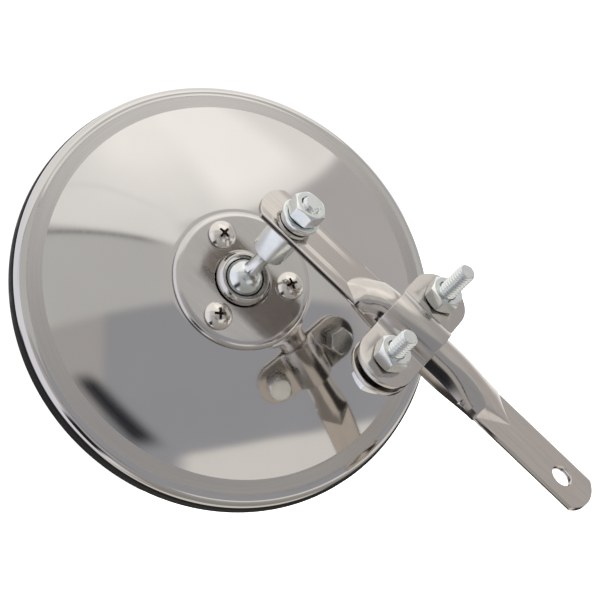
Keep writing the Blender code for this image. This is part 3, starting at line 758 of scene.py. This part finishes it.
def glass_mesh():
    """The convex glass, whose two curved faces are one thickness apart."""
    steps = [GLASS_RADIUS * i / 60 for i in range(61)]
    back = [(r, GLASS_BACK_EDGE - (GLASS_RADIUS**2 - r**2) / (2 * GLASS_CURVE)) for r in steps]
    front = [(r, z - GLASS_THICKNESS) for r, z in reversed(back)]
    return turned("glass", back + front, ROUND_STEPS, closed=False)


piece("convex_glass", glass_mesh(), HEAD_FRAME, "head", "mirror_glass", "mirror", GLASS)


def screw_places():
    """Each hub screw's index and place in the head's frame."""
    for index in range(3):
        angle = SCREW_TURN + 2 * math.pi * index / 3
        yield index, Matrix.Translation((SCREW_CIRCLE * math.cos(angle), SCREW_CIRCLE * math.sin(angle), 0))


def hub_mesh():
    """The round plate on the dome, with a soft shoulder, a bore for the socket and three screw holes."""
    low = HUB_FACE - HUB_THICKNESS
    inner, rise = HUB_RADIUS - HUB_SHOULDER, HUB_THICKNESS - 0.35 * MM
    profile = [(HUB_BORE, low), (HUB_RADIUS - 0.5 * MM, low), (HUB_RADIUS - 0.08 * MM, low + 0.08 * MM)]
    quarter = arc((0, 0), 1, 0, 90, 14)
    profile += [(inner + HUB_SHOULDER * x, HUB_FACE - rise + rise * y) for x, y in quarter]
    profile += [(20 * MM, HUB_FACE), (14 * MM, HUB_FACE)]
    profile += [(HUB_BORE + 0.45 * MM, HUB_FACE), (HUB_BORE, HUB_FACE - 0.4 * MM)]
    radius = SCREW_RADIUS + GAP
    hole = [(0, -8 * MM), (radius, -8 * MM), (radius, 6 * MM), (0, 6 * MM)]
    holes = [moved(turned("hole", hole, 32, closed=False), place) for _, place in screw_places()]
    return cut(turned("hub", profile, 192), holes)


piece("hub", hub_mesh(), HEAD_FRAME, "head", "hub_plate", "satin_steel", HUB)


def socket_mesh():
    """The ring round the ball: a seat on the ball, a rolled lip, a bulged wall and a hidden flange."""
    seat = BALL_RADIUS + GAP
    seat_end = math.degrees(math.atan2(2.84 * MM, 6.55 * MM))
    profile = arc((0, 0), seat, math.degrees(math.asin(SOCKET_FOOT / seat)), seat_end, 16)
    lip = 0.5 * MM
    profile += arc((8.05 * MM, SOCKET_LIP_HEIGHT - lip), lip, 150, 25, 8)
    crest, foot = Vector((8.55 * MM, 3.65 * MM)), Vector((9.6 * MM, 0.7 * MM))
    outwards = Vector((0.94, 0.33))
    for t in (0.15, 0.35, 0.55, 0.75, 0.9):
        bulge = math.sin(t * math.pi) * 0.35 * MM
        profile.append(tuple(crest.lerp(foot, t) + outwards * bulge))
    under = HUB_FACE - HUB_THICKNESS - GAP
    profile += [(SOCKET_RADIUS - 0.03 * MM, 0.5 * MM), (SOCKET_RADIUS, under)]
    profile += [(SOCKET_FLANGE, under), (SOCKET_FLANGE, SOCKET_FOOT)]
    return turned("socket", profile, 128)


piece("socket_lip", socket_mesh(), HEAD_FRAME, "head", "socket_ring", "polished_steel", POLISHED, sharp=50)


def cross_cutter(top, depth):
    """A cross-shaped pit that narrows as it goes down, with a pointed floor."""
    # each level's height, and the arms' reach and half their width in millimetres
    levels = ((top + 2 * MM, 2.55, 0.5), (top, 2.3, 0.46), (top - depth * 0.75, 1.0, 0.3),
              (top - depth, 0.5, 0.2))
    rings = []
    for height, reach, half in levels:
        inner = half * 1.25
        shoulder = inner + 0.12
        corners = ((reach, -half), (reach, half), (shoulder, half), (inner, inner), (half, shoulder))
        ring = []
        for quarter in range(4):
            turn = Matrix.Rotation(math.radians(90 * quarter), 2)
            ring += [(*(turn @ Vector((x * MM, y * MM))), height) for x, y in corners]
        rings.append(ring)
    rings.append([(0, 0, top - depth - 0.35 * MM)])
    return loft("recess", rings)


def screw_mesh():
    """A pan-head screw, with the faces inside its cross in slot 1, which takes the painted shade."""
    under = HUB_FACE + GAP
    radius, crown_rise = SCREW_HEAD_RADIUS, SCREW_HEAD_HEIGHT - SCREW_HEAD_EDGE
    ball = (radius**2 + crown_rise**2) / (2 * crown_rise)
    top = under + SCREW_HEAD_HEIGHT

    def crown(r):
        return top - ball + math.sqrt(ball**2 - r**2)

    profile = [(0, SCREW_TIP), (SCREW_RADIUS - 0.5 * MM, SCREW_TIP), (SCREW_RADIUS, SCREW_TIP + 0.5 * MM)]
    profile += [(SCREW_RADIUS, under), (radius - 0.25 * MM, under), (radius - 0.05 * MM, under + 0.1 * MM)]
    profile += [(radius, under + 0.35 * MM), (radius, under + 0.6 * MM)]
    steps = [(radius - 0.12 * MM) * i / 20 for i in range(20, -1, -1)]
    profile += [(r, crown(r)) for r in steps]
    made = cut(turned("screw", profile, 96, closed=False), [cross_cutter(top - 0.1 * MM, CROSS_DEPTH)],
               bevel=0.08 * MM)
    # the faces down inside the cross take the painted shade of slot 1
    for face in made.polygons:
        away, height = face.center.xy.length, face.center.z
        if away < 2.6 * MM and under + 0.3 * MM < height < crown(away) - 0.14 * MM:
            face.material_index = 1
    return made


for index, place in screw_places():
    # each screw's cross has stopped at its own angle
    turn = Matrix.Rotation(math.radians(35 + 25 * index), 4, "Z")
    piece(f"screw_{index + 1}", screw_mesh(), HEAD_FRAME @ place @ turn, "head", f"hub_screw_{index + 1}",
          "satin_steel", SCREW_STEEL, RECESS_PAINTED_SHADE, sharp=38)
    nut(f"inner_nut_{index + 1}", INNER_NUT_FACE, HEAD_FRAME @ place, "head", f"hub_nut_{index + 1}",
        SCREW_RADIUS + NUT_CLEARANCE, INNER_NUT_FLATS, INNER_NUT_HEIGHT)


# --- The clamp -------------------------------------------------------------------------------------------


def saddle_side(off_middle):
    """Half of one face of a clamp plate, from its crown over the tube to past its ear's end."""
    middle = TUBE_RADIUS + GAP + CLAMP_SHEET / 2
    fillet = SADDLE_FILLET + CLAMP_SHEET / 2
    rise = EAR_TOP - CLAMP_SHEET / 2 + fillet
    run = math.sqrt((middle + fillet) ** 2 - rise**2)
    meet = math.degrees(math.atan2(rise, run))
    crown = arc((0, 0), middle + off_middle, 90, meet, 24)
    foot = arc((run, rise), fillet - off_middle, 180 + meet, 270, 12)
    end = BOLT_SPREAD + CLAMP_WIDTH / 2 + 2 * MM
    return crown + foot[1:] + [(end, foot[-1][1])]


def saddle_mesh(name):
    """A clamp plate: a bent strip, cut to a round-ended outline, with two bolt holes."""
    half = CLAMP_WIDTH / 2
    top, bottom = saddle_side(CLAMP_SHEET / 2), saddle_side(-CLAMP_SHEET / 2)
    right = top + bottom[::-1]
    outline = [(-x, y) for x, y in top[:0:-1]] + right[:-1] + [(-x, y) for x, y in bottom]
    strip = moved(prism(name, outline, -half - MM, half + MM), Matrix.Rotation(math.radians(90), 4, "X"))
    deep, bore = TUBE_RADIUS + 6 * MM, THREAD_RADIUS + GAP
    stadium = arc((BOLT_SPREAD, 0), half, -90, 90, 48) + arc((-BOLT_SPREAD, 0), half, 90, 270, 48)
    plate = cut(strip, [prism("outline", stadium, -deep, deep)], "INTERSECT")
    hole = [(0, -deep), (bore, -deep), (bore, deep), (0, deep)]
    holes = [moved(turned("hole", hole, 48, closed=False), Matrix.Translation((side * BOLT_SPREAD, 0, 0)))
             for side in (-1, 1)]
    return cut(plate, holes, bevel=0.3 * MM)


piece("saddle_back", saddle_mesh("saddle_back"), CLAMP_FRAME, "clamp", "clamp_plate_back", "satin_steel",
      CLAMP_STEEL)
piece("saddle_front", saddle_mesh("saddle_front"), CLAMP_FRAME @ Matrix.Rotation(math.pi, 4, "Y"), "clamp",
      "clamp_plate_front", "satin_steel", CLAMP_STEEL)


def bolt_mesh(tip):
    """A hexagon head under the lower ear, and a threaded shank from inside the ear's hole up to the tip."""
    seat = EAR_TOP + GAP
    head = loft("bolt", hex_rings(NUT_FLATS, seat, seat + BOLT_HEAD_HEIGHT, False))
    threads = thread_rings(-seat + 0.5 * MM, tip, full_start=True)
    rings = [[(0, 0, threads[0][0][2])]] + threads + [scaled(threads[-1], 0.93, tip), [(0, 0, tip)]]
    return cut(moved(head, Matrix.Rotation(math.pi, 4, "X")), [loft("shank", rings)], "UNION")


for side_name, (side, tip) in BOLT_TIPS.items():
    centre = CLAMP_FRAME @ Matrix.Translation((side * BOLT_SPREAD, 0, 0))
    bolt_place = centre @ Matrix.Rotation(BOLT_TURN * side, 4, "Z")
    nut_place = centre @ Matrix.Rotation(CLAMP_NUT_TURN + NUT_TURN_CHANGE * side, 4, "Z")
    piece(f"bolt_{side_name}", bolt_mesh(tip), bolt_place, "clamp", f"clamp_bolt_{side_name}", "zinc", ZINC,
          sharp=22)
    nut(f"nut_{side_name}", EAR_TOP + GAP, nut_place, "clamp", f"clamp_nut_{side_name}",
        THREAD_RADIUS + NUT_CLEARANCE)

# The pieces inside the head stay as the CAD has them, in plated steel.
for node in ("backing_plate", "ball_seat", "seat_spring"):
    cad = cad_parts[node]
    cad.data.materials.clear()
    cad.data.materials.append(ZINC)


# --- The studio ------------------------------------------------------------------------------------------


def add_floor():
    """A pale floor that glows a little beyond the object, so that it meets the white background softly."""
    bm = bmesh.new()
    bmesh.ops.create_grid(bm, x_segments=1, y_segments=1, size=40)
    floor = bpy.data.objects.new("floor", to_mesh("floor", bm))
    floor.location.z = FLOOR_HEIGHT
    bpy.context.scene.collection.objects.link(floor)
    pale, paler = (0.78, 0.78, 0.78), (0.8, 0.8, 0.8)
    nodes = Nodes("pale_floor", metallic=0.0, roughness=0.9, colour=paler)
    away = nodes.vectors("DOT_PRODUCT", nodes.place, (-CAMERA_BACK.x, -CAMERA_BACK.y, 0), output="Value")
    glow = nodes.spread(away, 0.0, FLOOR_GLOW, FLOOR_GLOW_START, FLOOR_GLOW_END)
    nodes.link(glow, "Emission Strength")
    nodes.shader.inputs["Emission Color"].default_value = (1, 1, 1, 1)
    nodes.tint(nodes.noise(nodes.place, scale=400, detail=2), paler, pale)
    floor.data.materials.append(nodes.material)
    floor.visible_glossy = False


def add_camera():
    data = bpy.data.cameras.new("camera")
    data.lens = CAMERA_LENS
    data.sensor_width = 36
    data.clip_start, data.clip_end = 0.05, 200
    camera = bpy.data.objects.new("camera", data)
    bpy.context.scene.collection.objects.link(camera)
    turn = Matrix((CAMERA_RIGHT, CAMERA_UP, CAMERA_BACK)).transposed().to_4x4()
    camera.matrix_world = Matrix.Translation(CAMERA_PLACE) @ turn
    bpy.context.scene.camera = camera


class Sky(NodeTree):
    """The studio round the object, built from soft-edged areas of brightness on a sphere.

    A place on it is given in degrees up, and degrees round to the right from where the camera stands.
    """

    def __init__(self, colour):
        self.world = bpy.data.worlds.new("studio")
        super().__init__(self.world)
        direction = self.add("ShaderNodeTexCoord").outputs["Generated"]
        right, up, back = (self.vectors("DOT_PRODUCT", direction, axis, output="Value")
                           for axis in (CAMERA_RIGHT, CAMERA_UP, CAMERA_BACK))
        self.height = self.times(self.math("ARCSINE", up), math.degrees(1))
        self.round = self.times(self.math("ARCTAN2", right, back), math.degrees(1))
        self.colour = colour

    def edge(self, value, start, end):
        """0 before the start, 1 after the end and smooth between."""
        inputs = {"Value": value, "From Min": start, "From Max": end}
        return self.add("ShaderNodeMapRange", inputs, interpolation_type="SMOOTHSTEP").outputs[0]

    def window(self, value, low, high, soft):
        """1 between low and high, with soft edges."""
        rise, fall = self.edge(value, low - soft, low + soft), self.edge(value, high + soft, high - soft)
        return self.times(rise, fall)

    def tilted(self, slope, curve, pivot):
        """Degrees up, less a slope and a curve away from the pivot, which is in degrees round."""
        off = self.math("SUBTRACT", self.round, pivot)
        level = self.math("SUBTRACT", self.height, self.times(off, slope))
        return self.math("SUBTRACT", level, self.times(self.times(off, off), curve))

    def paint(self, colour, *masks):
        """Lays a colour over what is there, where every mask is 1."""
        mask = masks[0]
        for other in masks[1:]:
            mask = self.times(mask, other)
        self.colour = self.mix(mask, self.colour, colour)

    def done(self):
        """Uses the painted sphere for light and reflections, and plain white as the background."""
        painted = self.tree.nodes["Background"]
        self.tree.links.new(self.colour, painted.inputs["Color"])
        plain = self.add("ShaderNodeBackground", {"Color": (1, 1, 1, 1), "Strength": BACKGROUND_GLOW})
        seen = self.add("ShaderNodeLightPath").outputs["Is Camera Ray"]
        shown = self.add("ShaderNodeMixShader", {0: seen, 1: painted.outputs[0], 2: plain.outputs[0]})
        self.tree.links.new(shown.outputs[0], self.tree.nodes["World Output"].inputs["Surface"])
        bpy.context.scene.world = self.world


def paint_walls(sky):
    edge, up, around = sky.edge, sky.height, sky.round
    # the lower wall, lighter on the left, over a duller floor
    sky.paint((0.49, 0.475, 0.47), edge(around, 10, 7))
    sky.paint((0.40, 0.385, 0.37), edge(up, -14, -28))
    sky.paint((0.33, 0.315, 0.30), edge(up, -32, -55))
    # a pale table's edge, beside the camera
    sky.paint((0.86, 0.835, 0.80), edge(sky.tilted(0.13, 0.0, 25), -4.4, -6.4), edge(around, 23, 29),
              edge(up, -26, -14))
    # a window's daylight on the left
    sky.paint((0.92, 0.92, 1.0), edge(around, -12, -34), edge(up, -78, -50))
    # the upper wall, and the wall on the right
    sky.paint((0.62, 0.62, 0.605), edge(sky.tilted(0.22, -0.004, 6), 23.8, 26.4), edge(around, -34, -12))
    sky.paint((0.56, 0.54, 0.535), edge(around, 66, 82), edge(up, 2, 14))


def paint_ceiling(sky):
    edge, window, up, around = sky.edge, sky.window, sky.height, sky.round
    # its left side and its bent near edge
    dull = (0.99, 0.975, 0.95)
    sky.paint(dull, edge(up, 34, 56), edge(around, -34, -58))
    near_edge = edge(sky.tilted(-0.12, -0.004, 8), 44.6, 46.6)
    sky.paint(dull, near_edge, edge(around, 40, 28), edge(around, -62, -38))
    # the soft box, which brightens upwards and to the right
    sky.paint((1.0, 0.985, 0.96), edge(up, 45.2, 47.6), edge(around, 26, 34))
    sky.paint((1.12, 1.10, 1.07), edge(up, 47, 60), edge(around, -5, 30))
    sky.paint((1.22, 1.20, 1.165), edge(up, 57, 66), edge(around, 0, 25))
    sky.paint((1.27, 1.24, 1.20), edge(up, 44, 54), edge(around, 42, 54))
    sky.paint((1.04, 1.02, 0.99), edge(up, 46, 49), edge(around, 78, 92))
    # two dark seams
    near_seam = window(sky.tilted(-0.02, -0.006, 4), 44.6, 45.4, 0.6)
    sky.paint((0.16, 0.16, 0.17), near_seam, window(around, -60, 24, 5))
    far_seam = window(sky.tilted(-0.05, -0.011, 6), 56.2, 56.6, 1.0)
    sky.paint((0.84, 0.83, 0.81), far_seam, window(around, -60, 28, 6))


def paint_dark_areas(sky):
    """Two dark cloths beside the camera, which the polished dome reflects as dark patches."""
    sky.paint((0.015, 0.015, 0.022), sky.window(sky.tilted(-1.06, 0.012, 11), 2.0, 7.0, 1.8),
              sky.window(sky.height, -2.5, 12.0, 2.0))
    sky.paint((0.02, 0.02, 0.024), sky.window(sky.tilted(0.45, 0.0, -28), -40, -17, 4),
              sky.window(sky.round, -54, -10, 5))


def paint_backdrop(sky):
    """The white backdrop behind the object, its shaded foot and the floor in front of that."""
    edge, up, aside = sky.edge, sky.height, sky.math("ABSOLUTE", sky.round)
    sky.paint((1.02, 1.01, 1.0), edge(aside, 122, 152), edge(up, -14, -4))
    foot = edge(aside, 96, 122)
    sky.paint((0.045, 0.042, 0.04), foot, edge(up, -4, -9))
    sky.paint((0.8, 0.75, 0.69), foot, edge(up, -40, -50))


def add_world():
    sky = Sky(colour=(0.385, 0.39, 0.415))
    paint_walls(sky)
    paint_ceiling(sky)
    paint_dark_areas(sky)
    paint_backdrop(sky)
    sky.done()


def add_light():
    """A weak, warm soft box overhead, which reflections don't show."""
    data = bpy.data.lights.new("overhead", "AREA")
    data.shape, data.size, data.size_y = "RECTANGLE", 1.4, 1.0
    data.energy, data.color = 1.0, (1.0, 0.985, 0.96)
    light = bpy.data.objects.new("overhead", data)
    bpy.context.scene.collection.objects.link(light)
    aim = (CAMERA_UP * 0.87 + CAMERA_RIGHT * 0.4 + CAMERA_BACK * 0.28).normalized()
    light.location = LIGHT_TARGET + aim * LIGHT_DISTANCE
    light.rotation_mode = "QUATERNION"
    light.rotation_quaternion = (-aim).to_track_quat("-Z", "Y")
    light.visible_glossy = False


add_floor()
add_camera()
add_world()
add_light()
bpy.context.scene.view_settings.view_transform = "Standard"
